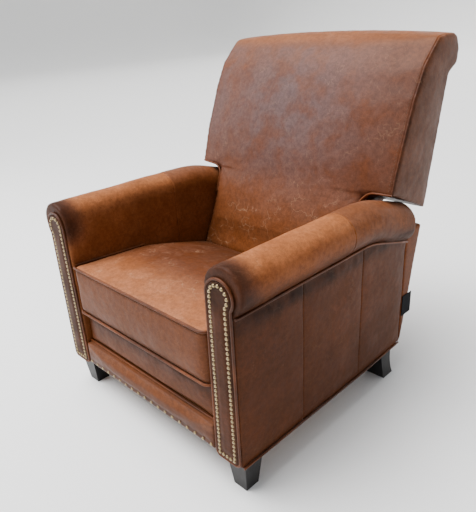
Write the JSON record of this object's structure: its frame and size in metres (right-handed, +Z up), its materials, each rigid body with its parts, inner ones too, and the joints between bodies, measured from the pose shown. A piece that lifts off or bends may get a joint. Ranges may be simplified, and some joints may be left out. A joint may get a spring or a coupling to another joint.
{
  "type": "recliner armchair",
  "caption": "Push-back club recliner with rolled arms, nail-trimmed arm fronts, a T-shaped reclining back and a footrest that unfolds under the seat, on wooden feet.",
  "frame": {"origin": "on the floor under the middle of the chair at rest, at the centre of its bounding box seen from above", "axes": "+Z up, the chair faces -Y, +X is the sitter's left"},
  "size_m": [0.8, 0.9255, 1.0023],
  "materials": {
    "arm_leather": "aniline-dyed sheepskin, hand-waxed, darker on the rolls and arm fronts",
    "seat_leather": "aniline-dyed sheepskin, waxed, creased and rubbed",
    "back_leather": "aniline-dyed sheepskin, waxed, with a soft bloom and fine scratches",
    "nail_brass": "antiqued brass upholstery nails",
    "foot_wood": "black-stained beech, satin lacquer",
    "frame_timber": "sawn hardwood and plywood, unfinished",
    "mechanism_steel": "pressed steel, black powder coat",
    "pin_steel": "zinc-plated steel",
    "spring_steel": "oil-tempered spring wire",
    "strap_webbing": "woven elastic webbing",
    "tab_fabric": "folded black cotton tape, blank"
  },
  "bodies": {
    "base": {"arm_left": "arm_leather", "arm_right": "arm_leather", "arm_frame_left": "frame_timber", "arm_frame_right": "frame_timber", "arm_facing_left": "arm_leather", "arm_facing_right": "arm_leather", "facing_welt_left": "arm_leather", "facing_welt_right": "arm_leather", "facing_nails_left": "nail_brass", "facing_nails_right": "nail_brass", "arm_piping_left": "arm_leather", "arm_piping_right": "arm_leather", "front_foot_left": "foot_wood", "front_foot_right": "foot_wood", "rear_foot_left": "foot_wood", "rear_foot_right": "foot_wood", "foot_bolts": "pin_steel", "front_rail": "frame_timber", "rear_rail": "frame_timber", "side_rail_left": "frame_timber", "side_rail_right": "frame_timber", "base_plates": "mechanism_steel", "base_pins": "pin_steel", "rear_shell": "back_leather", "side_tab": "tab_fabric"},
    "front_links": {"front_swing_links": "mechanism_steel", "front_link_tube": "mechanism_steel"},
    "rear_links": {"rear_swing_links": "mechanism_steel", "rear_link_tube": "mechanism_steel"},
    "seat": {"seat_rail_left": "mechanism_steel", "seat_rail_right": "mechanism_steel", "seat_pins": "pin_steel", "seat_front_crossbar": "frame_timber", "seat_rear_crossbar": "frame_timber", "seat_springs": "spring_steel", "seat_cushion": "seat_leather", "seat_top_welt": "seat_leather", "seat_bottom_welt": "seat_leather"},
    "back": {"back_frame": "frame_timber", "back_webbing": "strap_webbing", "back_cushion": "back_leather", "back_cover": "back_leather", "outside_back": "back_leather", "back_brackets": "mechanism_steel", "control_pins": "pin_steel", "wing_piping": "back_leather"},
    "recline_links": {"recline_links": "mechanism_steel"},
    "first_links": {"footrest_first_links": "mechanism_steel", "knee_pins": "pin_steel"},
    "second_links": {"footrest_second_links": "mechanism_steel", "guide_pins": "pin_steel"},
    "guide_links": {"footrest_guide_links": "mechanism_steel"},
    "footrest": {"footrest_brackets": "mechanism_steel", "board_pins": "pin_steel", "footrest_board": "frame_timber", "footrest_pad": "seat_leather", "footrest_band": "seat_leather", "footrest_welt": "seat_leather", "footrest_nails": "nail_brass"}
  },
  "joints": [
    {"name": "back_recline", "type": "hinge", "parent": "seat", "child": "back", "pos_m": [0, 0.195, 0.2423], "axis": [-1, 0, 0], "range_deg": [0, 24]},
    {"name": "front_swing", "type": "hinge", "parent": "base", "child": "front_links", "pos_m": [0, -0.325, 0.13798], "axis": [1, 0, 0], "range_deg": [0, 37.1]},
    {"name": "seat_level", "type": "hinge", "parent": "front_links", "child": "seat", "pos_m": [0, -0.2901, 0.2423], "axis": [-1, 0, 0], "range_deg": [0, 37.1]},
    {"name": "rear_swing", "type": "hinge", "parent": "base", "child": "rear_links", "pos_m": [0, 0.075, 0.13798], "axis": [1, 0, 0], "range_deg": [0, 37.1]},
    {"name": "recline_control", "type": "hinge", "parent": "base", "child": "recline_links", "pos_m": [0, 0.2053, 0.12498], "axis": [1, 0, 0], "range_deg": [0, 35.28]},
    {"name": "footrest_first", "type": "hinge", "parent": "seat", "child": "first_links", "pos_m": [0, -0.395, 0.262], "axis": [-1, 0, 0], "range_deg": [0, 80.1]},
    {"name": "footrest_knee", "type": "hinge", "parent": "first_links", "child": "second_links", "pos_m": [0, -0.395, 0.112], "axis": [1, 0, 0], "range_deg": [0, 127.05]},
    {"name": "footrest_board", "type": "hinge", "parent": "second_links", "child": "footrest", "pos_m": [0, -0.403, 0.262], "axis": [-1, 0, 0], "range_deg": [0, 137.05]},
    {"name": "footrest_guide", "type": "hinge", "parent": "seat", "child": "guide_links", "pos_m": [0, -0.376, 0.268], "axis": [-1, 0, 0], "range_deg": [0, 76.61]}
  ],
  "couplings": [
    {"joint": "front_swing", "follows": "back_recline", "ratio": 1.5417},
    {"joint": "seat_level", "follows": "back_recline", "ratio": 1.5417},
    {"joint": "rear_swing", "follows": "back_recline", "ratio": 1.5417},
    {"joint": "recline_control", "follows": "back_recline", "ratio": 1.4657},
    {"joint": "footrest_first", "follows": "back_recline", "ratio": 3.3333},
    {"joint": "footrest_knee", "follows": "back_recline", "ratio": 5.2895},
    {"joint": "footrest_board", "follows": "back_recline", "ratio": 5.7061},
    {"joint": "footrest_guide", "follows": "back_recline", "ratio": 3.1879}
  ]
}
